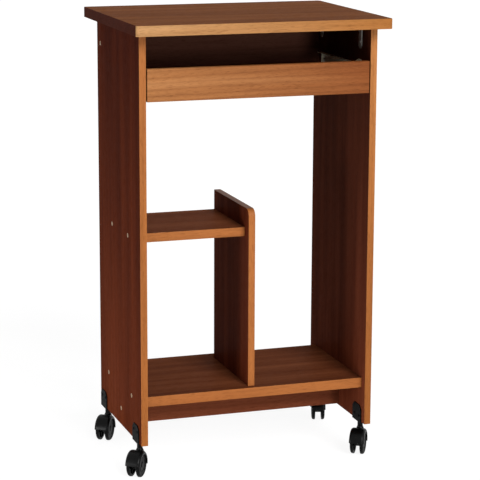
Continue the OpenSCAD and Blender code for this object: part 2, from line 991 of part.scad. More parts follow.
top_board();
top_edging();
left_side_panel();
left_side_edging();
right_side_panel();
right_side_edging();
back_rail();
kick_rail();
bottom_shelf();
bottom_shelf_edging();
divider_panel();
divider_edging();
half_shelf();
half_shelf_edging();
connector_screws();
top_dowels();
top_angle_brackets();
angle_bracket_screws();
left_cabinet_runner();
right_cabinet_runner();
left_cabinet_roller();
right_cabinet_roller();
cabinet_runner_screws();
tray_board();
tray_fascia();
fascia_edging();
fascia_brackets();
fascia_bracket_screws();
left_tray_runner();
right_tray_runner();
left_tray_roller();
right_tray_roller();
tray_runner_screws();
bracket_at(-caster_x, caster_y_front);  // front_left_bracket
translate([-caster_x, caster_y_front, 0]) caster_stem();  // front_left_stem
swivel_at(-caster_x, caster_y_front, turn_front_left) caster_hood();  // front_left_hood
swivel_at(-caster_x, caster_y_front, turn_front_left) caster_axle();  // front_left_axle
swivel_at(-caster_x, caster_y_front, turn_front_left) caster_wheel(1);  // front_left_inner_wheel
swivel_at(-caster_x, caster_y_front, turn_front_left) caster_wheel(-1);  // front_left_outer_wheel
bracket_at(caster_x, caster_y_front);  // front_right_bracket
translate([caster_x, caster_y_front, 0]) caster_stem();  // front_right_stem
swivel_at(caster_x, caster_y_front, turn_front_right) caster_hood();  // front_right_hood
swivel_at(caster_x, caster_y_front, turn_front_right) caster_axle();  // front_right_axle
swivel_at(caster_x, caster_y_front, turn_front_right) caster_wheel(-1);  // front_right_inner_wheel
swivel_at(caster_x, caster_y_front, turn_front_right) caster_wheel(1);  // front_right_outer_wheel
bracket_at(-caster_x, caster_y_rear);  // rear_left_bracket
translate([-caster_x, caster_y_rear, 0]) caster_stem();  // rear_left_stem
swivel_at(-caster_x, caster_y_rear, turn_rear_left) caster_hood();  // rear_left_hood
swivel_at(-caster_x, caster_y_rear, turn_rear_left) caster_axle();  // rear_left_axle
swivel_at(-caster_x, caster_y_rear, turn_rear_left) caster_wheel(1);  // rear_left_inner_wheel
swivel_at(-caster_x, caster_y_rear, turn_rear_left) caster_wheel(-1);  // rear_left_outer_wheel
bracket_at(caster_x, caster_y_rear);  // rear_right_bracket
translate([caster_x, caster_y_rear, 0]) caster_stem();  // rear_right_stem
swivel_at(caster_x, caster_y_rear, turn_rear_right) caster_hood();  // rear_right_hood
swivel_at(caster_x, caster_y_rear, turn_rear_right) caster_axle();  // rear_right_axle
swivel_at(caster_x, caster_y_rear, turn_rear_right) caster_wheel(-1);  // rear_right_inner_wheel
swivel_at(caster_x, caster_y_rear, turn_rear_right) caster_wheel(1);  // rear_right_outer_wheel
caster_bracket_screws();
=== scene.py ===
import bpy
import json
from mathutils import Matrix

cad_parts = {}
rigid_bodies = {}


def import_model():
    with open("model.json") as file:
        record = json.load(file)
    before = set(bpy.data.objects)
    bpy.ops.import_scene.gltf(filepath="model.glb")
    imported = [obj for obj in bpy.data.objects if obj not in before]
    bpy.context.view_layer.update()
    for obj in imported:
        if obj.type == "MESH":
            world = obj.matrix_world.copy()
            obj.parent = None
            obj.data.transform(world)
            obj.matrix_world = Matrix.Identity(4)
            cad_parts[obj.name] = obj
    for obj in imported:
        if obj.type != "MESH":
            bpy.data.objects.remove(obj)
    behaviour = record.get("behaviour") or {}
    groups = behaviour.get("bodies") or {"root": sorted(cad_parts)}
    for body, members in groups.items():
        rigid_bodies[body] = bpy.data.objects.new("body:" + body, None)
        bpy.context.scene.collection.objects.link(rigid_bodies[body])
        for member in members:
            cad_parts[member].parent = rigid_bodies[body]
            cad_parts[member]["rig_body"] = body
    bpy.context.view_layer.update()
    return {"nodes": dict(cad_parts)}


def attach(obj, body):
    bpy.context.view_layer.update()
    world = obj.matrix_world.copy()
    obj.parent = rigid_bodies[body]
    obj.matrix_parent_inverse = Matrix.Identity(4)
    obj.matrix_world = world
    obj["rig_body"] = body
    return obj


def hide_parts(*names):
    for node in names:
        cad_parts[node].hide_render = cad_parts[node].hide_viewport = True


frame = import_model()

import json
import math

import bmesh
import bpy
from mathutils import Matrix, Vector


# Studio
# A white floor and a white surround, as in a furniture catalogue, with a wide soft lamp
# in front and above, a weak one near the floor and a small low one on the left. The
# floor looks white but keeps the desk's soft shadow.
def add_node(tree, kind, inputs=None, **settings):
    """Adds a node, with plain values or other nodes' outputs for its inputs."""
    made = tree.nodes.new(kind)
    for key, value in settings.items():
        setattr(made, key, value)
    for key, value in (inputs or {}).items():
        if isinstance(value, bpy.types.NodeSocket):
            tree.links.new(value, made.inputs[key])
        else:
            made.inputs[key].default_value = value
    return made


def sum_up(tree, operation, *values):
    """The result of a Math node."""
    made = add_node(tree, "ShaderNodeMath", dict(enumerate(values)), operation=operation)
    return made.outputs[0]


def seen(tree):
    """1 for what the camera, a reflection or a clear material shows, 0 for what only lights."""
    path = add_node(tree, "ShaderNodeLightPath").outputs
    shown = sum_up(tree, "MAXIMUM", path["Is Camera Ray"], path["Is Glossy Ray"])
    return sum_up(tree, "MAXIMUM", shown, path["Is Transmission Ray"])


def put_in(name, data):
    """A new object in the scene."""
    made = bpy.data.objects.new(name, data)
    bpy.context.scene.collection.objects.link(made)
    return made


white = (1, 1, 1, 1)
surround_level = 0.22
backdrop_level = 1
surround = bpy.data.worlds.new("white_surround")
bpy.context.scene.world = surround
surround.use_nodes = True
tree = surround.node_tree
tree.nodes.clear()
lighting = add_node(tree, "ShaderNodeBackground", {"Color": white, "Strength": surround_level})
backdrop = add_node(tree, "ShaderNodeBackground", {"Color": white, "Strength": backdrop_level})
either = add_node(tree, "ShaderNodeMixShader",
                  {0: seen(tree), 1: lighting.outputs[0], 2: backdrop.outputs[0]})
add_node(tree, "ShaderNodeOutputWorld", {"Surface": either.outputs[0]})

floor_half = 30
floor_bounce = 0.8
floor_shown = 0.2
floor_glow = 0.91
floor_mesh = bpy.data.meshes.new("floor")
floor_mesh.from_pydata([(-floor_half, -floor_half, 0), (floor_half, -floor_half, 0),
                        (floor_half, floor_half, 0), (-floor_half, floor_half, 0)],
                       [], [(0, 1, 2, 3)])
floor_paint = bpy.data.materials.new("white_floor")
floor_paint.use_nodes = True
tree = floor_paint.node_tree
tree.nodes.clear()
bounce = add_node(tree, "ShaderNodeBsdfDiffuse", {"Color": (floor_bounce,) * 3 + (1,)})
shown = add_node(tree, "ShaderNodeBsdfDiffuse", {"Color": (floor_shown,) * 3 + (1,)})
glow = add_node(tree, "ShaderNodeEmission", {"Color": white, "Strength": floor_glow})
bright = add_node(tree, "ShaderNodeAddShader", {0: shown.outputs[0], 1: glow.outputs[0]})
either = add_node(tree, "ShaderNodeMixShader",
                  {0: seen(tree), 1: bounce.outputs[0], 2: bright.outputs[0]})
add_node(tree, "ShaderNodeOutputMaterial", {"Surface": either.outputs[0]})
floor_mesh.materials.append(floor_paint)
floor = put_in("floor", floor_mesh)

# Each far lamp has its degrees to the right, its degrees above the floor, its strength,
# and how wide it looks in degrees.
for name, side, height, strength, width in (("key_lamp", 10, 32, 2.35, 30),
                                            ("front_lamp", 6, 3, 0.55, 8)):
    lamp = bpy.data.lights.new(name, "SUN")
    lamp.energy = strength
    lamp.angle = math.radians(width)
    lamp_object = put_in(name, lamp)
    lamp_object.rotation_euler = (math.radians(90 - height), 0, math.radians(side))

# The low fill lights the foot of the left panel and its casters from the side.
fill_place = Vector((-1.0, -0.35, 0.1))
fill_aim = Vector((-0.216, 0, 0.15))
fill_watts = 6.5
fill_width = 0.4
fill = bpy.data.lights.new("low_fill", "AREA")
fill.energy = fill_watts
fill.size = fill_width
fill_object = put_in("low_fill", fill)
fill_object.location = fill_place
fill_object.rotation_euler = (fill_aim - fill_place).to_track_quat("-Z", "Y").to_euler()

# Camera
# In front of the desk, a little to its left and above its top, with a long lens. Its
# place and its turns in degrees come from the photo's straight edges.
camera_place = (-1.0947, -3.2898, 1.1349)
camera_turn = 18.604
camera_dip = 12.175
camera_roll = 0.238
camera_reach = 200
picture_width = 480
focal_pixels = 1949.45
sensor_width = 36
lens = bpy.data.cameras.new("camera")
lens.sensor_width = sensor_width
lens.lens = focal_pixels / picture_width * sensor_width
lens.clip_end = camera_reach
camera = put_in("camera", lens)
camera.matrix_world = (Matrix.Translation(camera_place)
                       @ Matrix.Rotation(math.radians(-camera_turn), 4, "Z")
                       @ Matrix.Rotation(math.radians(90 - camera_dip), 4, "X")
                       @ Matrix.Rotation(math.radians(camera_roll), 4, "Z"))
bpy.context.scene.camera = camera
bpy.context.scene.view_settings.view_transform = "Standard"


# Side panels
# Chipboard faced with a printed red-brown woodgrain foil with a matt finish. The grain
# runs up the panel, and painted shade darkens it from foot to head; the right panel's
# copy of the foil is painted lighter. The lower corners carry the caster brackets.
def paint(red, green, blue):
    """A display colour from 0 to 255 as the linear colour that a shader takes."""
    return tuple(part / 255 / 12.92 if part <= 10 else ((part / 255 + 0.055) / 1.055) ** 2.4
                 for part in (red, green, blue))


def shades(tree, factor, stops):
    """Colours that follow a factor from 0 to 1."""
    made = add_node(tree, "ShaderNodeValToRGB", {"Fac": factor})
    scale = made.color_ramp.elements
    while len(scale) < len(stops):
        scale.new(1)
    for mark, (place, color) in zip(scale, stops):
        mark.position = place
        mark.color = (*color, 1)
    return made.outputs["Color"]


def darkened(tree, depth, color, tint):
    """A colour multiplied by a tint, as layers of print and painted light and shade are, to a
    depth from 0 to 1.
    """
    made = add_node(tree, "ShaderNodeMix", {0: depth, 6: color, 7: tint},
                    data_type="RGBA", blend_type="MULTIPLY")
    return made.outputs[2]


def on_piece(tree):
    """Where a point of the piece lies, in metres."""
    return add_node(tree, "ShaderNodeTexCoord").outputs["Object"]


def along_piece(tree, axis):
    """Where a point of the piece lies along one axis, in metres."""
    return add_node(tree, "ShaderNodeSeparateXYZ", {0: on_piece(tree)}).outputs[axis]


def clouds(tree, place, scale, detail, roughness=0.5):
    """A cloudy pattern, as a factor and as a colour."""
    return add_node(tree, "ShaderNodeTexNoise",
                    {"Vector": place, "Scale": scale, "Detail": detail,
                     "Roughness": roughness}).outputs


def follow(tree, factor, low, high, at_low, at_high):
    """A value that goes from one level to another as the factor goes from low to high."""
    return add_node(tree, "ShaderNodeMapRange",
                    {"Value": factor, "From Min": low, "From Max": high,
                     "To Min": at_low, "To Max": at_high}).outputs[0]


def relief(tree, height, strength, depth):
    """The fine unevenness that a pattern presses into a surface, its depth in metres."""
    return add_node(tree, "ShaderNodeBump",
                    {"Height": height, "Strength": strength, "Distance": depth}).outputs[0]


def new_finish(name, roughness, metal=0.0, gloss=0.5):
    """A material with one Principled surface, and its tree."""
    finish = bpy.data.materials.new(name)
    finish.use_nodes = True
    surface = finish.node_tree.nodes["Principled BSDF"]
    surface.inputs["Roughness"].default_value = roughness
    surface.inputs["Metallic"].default_value = metal
    surface.inputs["Specular IOR Level"].default_value = gloss
    return finish, finish.node_tree, surface


def lay_on(tree, surface, layers):
    """Gives a surface its colour, its dullness or its relief from other nodes."""
    for key, value in layers.items():
        tree.links.new(value, surface.inputs[key])


def woodgrain_foil(name, along, start, tones, line_gap=0.014, line_depth=0.17,
                   streak_depth=0.34, gloss=0.002):
    """Printed woodgrain: broad streaks, arched growth lines, fine threads and short pores."""
    deep, plain, pale = tones
    finish, tree, surface = new_finish(name, 0.5, gloss=gloss)
    drawn_out = 18
    lengthwise = [1 / drawn_out if axis == along else 1 for axis in "XYZ"]
    straight = add_node(tree, "ShaderNodeMapping",
                        {"Vector": on_piece(tree), "Location": start,
                         "Scale": lengthwise}).outputs[0]
    sway_reach = 0.012
    bend = clouds(tree, straight, scale=30, detail=1)["Color"]
    sway = add_node(tree, "ShaderNodeVectorMath", {0: bend, 1: (sway_reach,) * 3, 2: straight},
                    operation="MULTIPLY_ADD").outputs[0]

    broad = clouds(tree, sway, scale=26, detail=3, roughness=0.55)["Fac"]
    color = shades(tree, broad, ((0.22, deep), (0.5, plain), (0.78, pale)))

    # A wave pattern at scale 1 has its rings 2 pi / 20 apart.
    heart_tilt = 0.35
    tilt = [0.0 if axis == along else heart_tilt for axis in "XYZ"]
    heart = add_node(tree, "ShaderNodeMapping", {"Vector": sway, "Rotation": tilt}).outputs[0]
    rings = add_node(tree, "ShaderNodeTexWave",
                     {"Vector": heart, "Scale": 2 * math.pi / 20 / line_gap, "Distortion": 3,
                      "Detail": 2, "Detail Scale": 0.7, "Detail Roughness": 0.5},
                     wave_type="RINGS", rings_direction=along, wave_profile="SIN")
    line_tone = shades(tree, rings.outputs["Fac"],
                       ((0.0, (0.66, 0.58, 0.52)), (0.3, (0.96, 0.94, 0.93)),
                        (1.0, (1.08, 1.08, 1.08))))
    color = darkened(tree, line_depth, color, line_tone)

    threads = clouds(tree, sway, scale=240, detail=4, roughness=0.65)["Fac"]
    thread_tone = shades(tree, threads, ((0.3, (0.66, 0.6, 0.57)), (0.5, (1, 1, 1)),
                                         (0.72, (1.2, 1.16, 1.12))))
    color = darkened(tree, streak_depth, color, thread_tone)

    pore_depth = 0.5
    pore_floor, pore_rim, pore_slope = 0.34, 0.42, 0.56
    dull, smooth = 0.66, 0.44
    pores = clouds(tree, sway, scale=1500, detail=1)["Fac"]
    pore_tone = shades(tree, pores, ((pore_floor, (0.45, 0.38, 0.34)), (pore_rim, (1, 1, 1))))
    lay_on(tree, surface, {"Base Color": darkened(tree, pore_depth, color, pore_tone),
                           "Roughness": follow(tree, pores, pore_floor, pore_slope, dull, smooth),
                           "Normal": relief(tree, pores, strength=0.25, depth=0.00008)})
    return finish


def tinted(finish, depth, tint):
    """Lays a tint over all that a finish has for its colour so far."""
    tree = finish.node_tree
    surface = tree.nodes["Principled BSDF"]
    plain = surface.inputs["Base Color"].links[0].from_socket
    lay_on(tree, surface, {"Base Color": darkened(tree, depth, plain, tint)})


def painted_light_along(finish, along, start, end, start_tint, end_tint):
    """Paints light and shade into a finish's tone, changing it evenly along a board."""
    tree = finish.node_tree
    share = follow(tree, along_piece(tree, along), start, end, 0, 1)
    tinted(finish, 1, shades(tree, share, ((0, start_tint), (1, end_tint))))


def work_in(made):
    """Makes an object the plain mesh that its modifiers give, without the modifiers."""
    drawn = made.evaluated_get(bpy.context.evaluated_depsgraph_get())
    mesh = bpy.data.meshes.new_from_object(drawn)
    made.modifiers.clear()
    made.data = mesh


weld_gap = 2e-6
flat_within = math.radians(0.2)
curve_within = math.radians(30)


def finished(node, edge, finish):
    """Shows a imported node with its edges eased, its curves smooth and its finish on."""
    solid = bmesh.new()
    solid.from_mesh(frame["nodes"][node].data)
    bmesh.ops.remove_doubles(solid, verts=solid.verts, dist=weld_gap)
    bmesh.ops.dissolve_limit(solid, angle_limit=flat_within, verts=solid.verts,
                             edges=solid.edges)
    corners = [line for line in solid.edges if line.calc_face_angle(0) > curve_within]
    bmesh.ops.bevel(solid, geom=corners, offset=edge, segments=2, profile=0.5,
                    affect="EDGES", clamp_overlap=False)
    for face in solid.faces:
        face.smooth = True
    mesh = bpy.data.meshes.new(node + "_finished")
    solid.to_mesh(mesh)
    solid.free()
    mesh.materials.append(finish)
    made = put_in(node + "_finished", mesh)
    made.modifiers.new("even_shading", "WEIGHTED_NORMAL").keep_sharp = True
    work_in(made)
    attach(made, frame["nodes"][node]["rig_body"])
    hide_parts(node)


board_edge = 0.0003
panel_foot, panel_head = 0.06, 0.78
foil_tones = (paint(82, 35, 20), paint(105, 48, 28), paint(126, 62, 38))
# The right panel's lighter tones are painted light; painted shade darkens both panels from foot to
# head.
right_lit_tones = (paint(94, 43, 27), paint(117, 58, 37), paint(140, 73, 49))
for node, start, tones, foot_light_tint, head_shade_tint in (
        ("left_side_panel", (0.03, 0.11, 0.2), foil_tones, (0.74, 0.7, 0.56), (0.42, 0.31, 0.22)),
        ("right_side_panel", (0.33, 0.42, 0.7), right_lit_tones, (1, 1, 1), (0.3, 0.32, 0.36))):
    foil = woodgrain_foil(node + "_foil", "Z", start, tones)
    painted_light_along(foil, "Z", panel_foot, panel_head, foot_light_tint, head_shade_tint)
    finished(node, board_edge, foil)

# Side panel edging
# A strip of lighter woodgrain edging, glued on each panel's front edge from the top
# board down to the caster bracket.
strip_edge = 0.0003
strip_gloss = 0.12
strip_tones = (paint(152, 88, 42), paint(174, 106, 54), paint(196, 130, 74))
# Painted shade darkens the strips towards the foot, and a painted highlight pales them towards the
# head.
strip_foot_shade_tint, strip_head_light_tint = (0.76, 0.73, 0.6), (1.12, 1.18, 1.2)
for node, start in (("left_side_edging", (0.01, 0.05, 0.1)),
                    ("right_side_edging", (0.21, 0.35, 0.6))):
    strip = woodgrain_foil(node + "_foil", "Z", start, strip_tones, gloss=strip_gloss)
    painted_light_along(strip, "Z", panel_foot, panel_head, strip_foot_shade_tint, strip_head_light_tint)
    finished(node, strip_edge, strip)

# Top
# A thicker board in a paler sheet of the foil, with its grain from left to right. Its
# edging is light along the front and dark round the sides and the back.
top_tones = (paint(106, 60, 32), paint(126, 74, 39), paint(144, 90, 50))
finished("top_board", board_edge, woodgrain_foil("top_foil", "X", (0.12, 0.05, 0.4), top_tones))
top_half_width = 0.23
top_strip_tones = (paint(176, 126, 82), paint(198, 146, 98), paint(214, 164, 116))
top_strip = woodgrain_foil("top_front_strip", "X", (0.5, 0.2, 0.1), top_strip_tones, gloss=0.005)
# A painted highlight pales the front strip towards its left end; it darkens and reddens towards
# the right.
painted_light_along(top_strip, "X", -top_half_width, top_half_width,
      start_tint=(0.95, 1, 1), end_tint=(0.74, 0.56, 0.34))
dark_from = -0.1745
dark_tint = (0.1, 0.03, 0.018, 1)
tree = top_strip.node_tree
tinted(top_strip, sum_up(tree, "GREATER_THAN", along_piece(tree, "Y"), dark_from), dark_tint)
finished("top_edging", strip_edge, top_strip)

# Rails
# The back rail stands under the top between the panels, and the kick rail under the
# bottom shelf. Both have the panels' foil with its grain along the rail; the kick rail's
# copy is painted lighter, as painted light in the shelf's shade.
back_tones = (paint(76, 46, 36), paint(96, 60, 48), paint(114, 74, 60))
# The kick rail's lighter tones are painted light.
kick_lit_tones = (paint(106, 56, 36), paint(132, 72, 48), paint(154, 90, 62))
for node, start, tones in (("back_rail", (0.7, 0.1, 0.3), back_tones),
                           ("kick_rail", (0.9, 0.6, 0.15), kick_lit_tones)):
    finished(node, board_edge, woodgrain_foil(node + "_foil", "X", start, tones))

# Shelves and divider
# Boards in the panels' foil: the bottom shelf from panel to panel, and the half shelf
# from the left panel to the divider. The divider's edging goes over its rounded upper
# corner, and painted shade darkens it behind that corner.
shelf_tones = (paint(88, 46, 28), paint(112, 61, 37), paint(134, 78, 50))
for node, along, start, tones in (("bottom_shelf", "X", (0.2, 0.9, 0.5), shelf_tones),
                                  ("half_shelf", "X", (0.6, 0.3, 0.9), shelf_tones),
                                  ("divider_panel", "Z", (0.8, 0.7, 0.3), foil_tones)):
    finished(node, board_edge, woodgrain_foil(node + "_foil", along, start, tones))
corner_front, corner_back = -0.112, -0.098
for node, along, start, back_shade_tint in (
        ("bottom_shelf_edging", "X", (0.4, 0.2, 0.2), (1, 1, 1)),
        ("half_shelf_edging", "X", (0.1, 0.6, 0.5), (1, 1, 1)),
        ("divider_edging", "Z", (0.7, 0.5, 0.8), (0.34, 0.3, 0.3))):
    strip = woodgrain_foil(node + "_foil", along, start, strip_tones, gloss=strip_gloss)
    # Painted shade darkens the divider's edging behind its corner.
    painted_light_along(strip, "Y", corner_front, corner_back, (1, 1, 1), back_shade_tint)
    finished(node, strip_edge, strip)

# Keyboard tray
# A thinner board in a darker foil, darkened in part as painted shade, behind a fascia in
# the edging's lighter woodgrain, with a bolder figure, which a painted highlight pales
# towards its left end. Strips of the same close the fascia's four narrow sides.
# The tray's darker tones are partly painted shade.
tray_shade_tones = (paint(56, 29, 19), paint(72, 39, 26), paint(90, 52, 36))
finished("tray_board", board_edge,
         woodgrain_foil("tray_foil", "X", (0.45, 0.8, 0.1), tray_shade_tones))
fascia_half_width = 0.2
fascia_tones = (paint(146, 92, 50), paint(170, 112, 64), paint(194, 138, 88))
fascia_foil = woodgrain_foil("fascia_foil", "X", (0.3, 0.02, 0.06), fascia_tones,
                             line_gap=0.01, line_depth=0.4, gloss=strip_gloss)
# A painted highlight pales the fascia and its edging towards the left end; they darken and redden
# towards the right.
painted_light_along(fascia_foil, "X", -fascia_half_width, fascia_half_width,
      start_tint=(1, 1, 1), end_tint=(0.62, 0.44, 0.32))
finished("tray_fascia", board_edge, fascia_foil)
finished("fascia_edging", strip_edge, fascia_foil)


# Top brackets and dowels
# Four zinc-plated steel angles hold the top on the panels. Four beech dowels, hidden in
# both, keep it in place.
def metal_plate(name, color, roughness, metal, gloss=0.5):
    """Plated or coated steel with a faint mottle and a fine grit."""
    finish, tree, surface = new_finish(name, roughness, metal=metal, gloss=gloss)
    shade_share = 0.82
    dark_patch, light_patch = 0.3, 0.7
    more_dull, less_dull = 0.1, 0.06
    place = on_piece(tree)
    mottle = clouds(tree, place, scale=160, detail=3)["Fac"]
    tone = shades(tree, mottle, ((dark_patch, tuple(part * shade_share for part in color)),
                                 (light_patch, color)))
    wear = follow(tree, mottle, dark_patch, light_patch, roughness + more_dull,
                  roughness - less_dull)
    grit = clouds(tree, place, scale=1500, detail=1)["Fac"]
    lay_on(tree, surface, {"Base Color": tone, "Roughness": wear,
                           "Normal": relief(tree, grit, strength=0.2, depth=0.00006)})
    return finish


plate_edge = 0.0003
dowel_edge = 0.0004
zinc = metal_plate("zinc_plate", paint(205, 206, 202), roughness=0.4, metal=0.85)
finished("top_angle_brackets", plate_edge, zinc)
beech, tree, surface = new_finish("beech", roughness=0.65)
fibre = add_node(tree, "ShaderNodeMapping", {"Vector": on_piece(tree), "Scale": (1, 1, 0.1)})
flecks = clouds(tree, fibre.outputs[0], scale=900, detail=2)["Fac"]
beech_tone = shades(tree, flecks, ((0.35, paint(176, 134, 92)), (0.65, paint(208, 170, 126))))
lay_on(tree, surface, {"Base Color": beech_tone})
finished("top_dowels", dowel_edge, beech)


# Connector screws
# Screws for chipboard in bronzed zinc, 5 mm thick, with a countersunk head and a hexagon
# socket. They join the panels, the shelves, the rails and the divider.
def screw_tree(name, sizes, outline, socket):
    """Geometry nodes that turn a screw's outline about its axis, sink a socket in its
    head, and set one screw on each point, turned to the point's aim."""
    tree = bpy.data.node_groups.new(name, "GeometryNodeTree")
    panel = tree.interface
    panel.new_socket(name="Heads", in_out="INPUT", socket_type="NodeSocketGeometry")
    for label, value in sizes:
        panel.new_socket(name=label, in_out="INPUT",
                         socket_type="NodeSocketFloat").default_value = value
    panel.new_socket(name="Steps Round", in_out="INPUT",
                     socket_type="NodeSocketInt").default_value = 24
    panel.new_socket(name="Seed", in_out="INPUT", socket_type="NodeSocketInt")
    panel.new_socket(name="Finish", in_out="INPUT", socket_type="NodeSocketMaterial")
    panel.new_socket(name="Screws", in_out="OUTPUT", socket_type="NodeSocketGeometry")
    given = add_node(tree, "NodeGroupInput").outputs
    steps = given["Steps Round"]
    stations = outline(tree, given)
    seam = sum_up(tree, "ADD", steps, 1)
    grid = add_node(tree, "GeometryNodeMeshGrid",
                    {"Size X": 1, "Size Y": 1, "Vertices X": len(stations), "Vertices Y": seam})
    index = add_node(tree, "GeometryNodeInputIndex").outputs[0]
    station = sum_up(tree, "FLOOR", sum_up(tree, "DIVIDE", sum_up(tree, "ADD", index, 0.5), seam))
    step = sum_up(tree, "SUBTRACT", index, sum_up(tree, "MULTIPLY", station, seam))
    angle = sum_up(tree, "MULTIPLY", sum_up(tree, "DIVIDE", step, steps), 2 * math.pi)

    def along_outline(column):
        """One column of the stations, such as their heights, for each point of the grid."""
        switch = add_node(tree, "GeometryNodeIndexSwitch", {"Index": station}, data_type="FLOAT")
        while len(switch.index_switch_items) < len(stations):
            switch.index_switch_items.new()
        for place, values in enumerate(stations):
            socket_in = switch.inputs[place + 1]
            if isinstance(values[column], bpy.types.NodeSocket):
                tree.links.new(values[column], socket_in)
            else:
                socket_in.default_value = values[column]
        return switch.outputs[0]

    height, round_radius, in_socket = (along_outline(column) for column in range(3))
    shaped = socket(tree, given, angle)
    radius = sum_up(tree, "ADD",
                    sum_up(tree, "MULTIPLY", round_radius, sum_up(tree, "SUBTRACT", 1, in_socket)),
                    sum_up(tree, "MULTIPLY", shaped, in_socket))
    place = add_node(tree, "ShaderNodeCombineXYZ",
                     {0: sum_up(tree, "MULTIPLY", radius, sum_up(tree, "COSINE", angle)),
                      1: sum_up(tree, "MULTIPLY", radius, sum_up(tree, "SINE", angle)),
                      2: height})
    wrapped = add_node(tree, "GeometryNodeSetPosition",
                       {"Geometry": grid.outputs[0], "Position": place.outputs[0]})
    seam_gap = 1e-6
    closed = add_node(tree, "GeometryNodeMergeByDistance",
                      {"Geometry": wrapped.outputs[0], "Distance": seam_gap})
    smooth = add_node(tree, "GeometryNodeSetShadeSmooth", {"Geometry": closed.outputs[0]},
                      domain="FACE")
    crease_from = math.radians(32)
    bend = add_node(tree, "GeometryNodeInputMeshEdgeAngle").outputs["Unsigned Angle"]
    crease = add_node(tree, "FunctionNodeCompare", {0: bend, 1: crease_from},
                      data_type="FLOAT", operation="GREATER_THAN")
    edged = add_node(tree, "GeometryNodeSetShadeSmooth",
                     {"Geometry": smooth.outputs[0], "Selection": crease.outputs[0],
                      "Shade Smooth": False}, domain="EDGE")
    aim = add_node(tree, "GeometryNodeInputNamedAttribute", {"Name": "aim"},
                   data_type="FLOAT_VECTOR").outputs[0]
    aligned = add_node(tree, "FunctionNodeAlignRotationToVector", {"Vector": aim}, axis="Z")
    turn = add_node(tree, "FunctionNodeRandomValue", {"Seed": given["Seed"]}, data_type="FLOAT")
    spin = add_node(tree, "ShaderNodeCombineXYZ",
                    {2: sum_up(tree, "MULTIPLY", turn.outputs[1], 2 * math.pi)})
    twist = add_node(tree, "FunctionNodeEulerToRotation", {0: spin.outputs[0]})
    driven = add_node(tree, "FunctionNodeRotateRotation",
                      {0: aligned.outputs[0], 1: twist.outputs[0]}, rotation_space="LOCAL")
    set_out = add_node(tree, "GeometryNodeInstanceOnPoints",
                       {"Points": given["Heads"], "Instance": edged.outputs[0],
                        "Rotation": driven.outputs[0]})
    real = add_node(tree, "GeometryNodeRealizeInstances", {"Geometry": set_out.outputs[0]})
    plated = add_node(tree, "GeometryNodeSetMaterial",
                      {"Geometry": real.outputs[0], "Material": given["Finish"]})
    add_node(tree, "NodeGroupOutput", {0: plated.outputs[0]})
    return tree


def screw_heads(node):
    """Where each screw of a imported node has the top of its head, and its outward aim."""
    solid = bmesh.new()
    solid.from_mesh(frame["nodes"][node].data)
    bmesh.ops.remove_doubles(solid, verts=solid.verts, dist=weld_gap)
    end_depth = 0.0003
    heads, left = [], set(solid.verts)
    while left:
        screw, reach = set(), [left.pop()]
        while reach:
            vertex = reach.pop()
            screw.add(vertex)
            near = [line.other_vert(vertex) for line in vertex.link_edges]
            reach += [other for other in near if other in left]
            left.difference_update(near)
        places = [vertex.co for vertex in screw]
        low = Vector(min(place[k] for place in places) for k in range(3))
        high = Vector(max(place[k] for place in places) for k in range(3))
        middle = (low + high) / 2
        long_way = max(range(3), key=lambda k: high[k] - low[k])
        aim = Vector((0, 0, 0))
        aim[long_way] = 1

        def width_at(end):
            """The screw's radius at one of its ends."""
            ring = [place - middle for place in places if abs(place[long_way] - end) < end_depth]
            return max((place - aim * place[long_way]).length for place in ring)

        if width_at(low[long_way]) > width_at(high[long_way]):
            aim = -aim
        middle[long_way] = low[long_way] if aim[long_way] < 0 else high[long_way]
        heads.append((middle, aim))
    solid.free()
    return sorted(heads, key=lambda head: tuple(round(part, 5) for part in head[0]))


def driven_screws(node, tree, values, finish):
    """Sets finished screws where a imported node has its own."""
    heads = screw_heads(node)
    mesh = bpy.data.meshes.new(node + "_heads")
    mesh.from_pydata([place for place, aim in heads], [], [])
    aims = mesh.attributes.new("aim", "FLOAT_VECTOR", "POINT")
    aims.data.foreach_set("vector", [part for place, aim in heads for part in aim])
    made = put_in(node + "_finished", mesh)
    modifier = made.modifiers.new("screws", "NODES")
    modifier.node_group = tree
    values = {**values, "Finish": finish}
    for item in tree.interface.items_tree:
        if item.item_type == "SOCKET" and item.in_out == "INPUT" and item.name in values:
            modifier[item.identifier] = values[item.name]
    work_in(made)
    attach(made, frame["nodes"][node]["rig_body"])
    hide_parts(node)


def countersunk_outline(tree, given):
    """Stations from the socket's floor over the head and down to the point, each with its
    height, its radius, and whether the socket's shape takes the radius's place."""
    depth = sum_up(tree, "MULTIPLY", given["Socket Depth"], -1)
    cone_end = sum_up(tree, "MULTIPLY", given["Head Height"], -1)
    cone_start = sum_up(tree, "SUBTRACT", 0, given["Head Rim"])
    shank_end = sum_up(tree, "SUBTRACT", given["Shank Radius"], given["Length"])
    point = sum_up(tree, "MULTIPLY", given["Length"], -1)
    dimple = sum_up(tree, "SUBTRACT", depth, given["Head Rim"])
    rim = sum_up(tree, "SUBTRACT", given["Head Radius"], given["Head Rim"])
    return [(dimple, 0, 0), (depth, 0, 1), (0, 0, 1), (0, rim, 0),
            (cone_start, given["Head Radius"], 0), (cone_end, given["Shank Radius"], 0),
            (shank_end, given["Shank Radius"], 0), (point, given["Point Radius"], 0),
            (point, 0, 0)]


def hexagon(tree, given, angle):
    """Radius of a hexagon socket at an angle."""
    sixth = math.pi / 3
    within = sum_up(tree, "SUBTRACT", sum_up(tree, "MODULO", angle, sixth), sixth / 2)
    flat = sum_up(tree, "MULTIPLY", given["Socket Radius"], math.cos(sixth / 2))
    return sum_up(tree, "DIVIDE", flat, sum_up(tree, "COSINE", within))


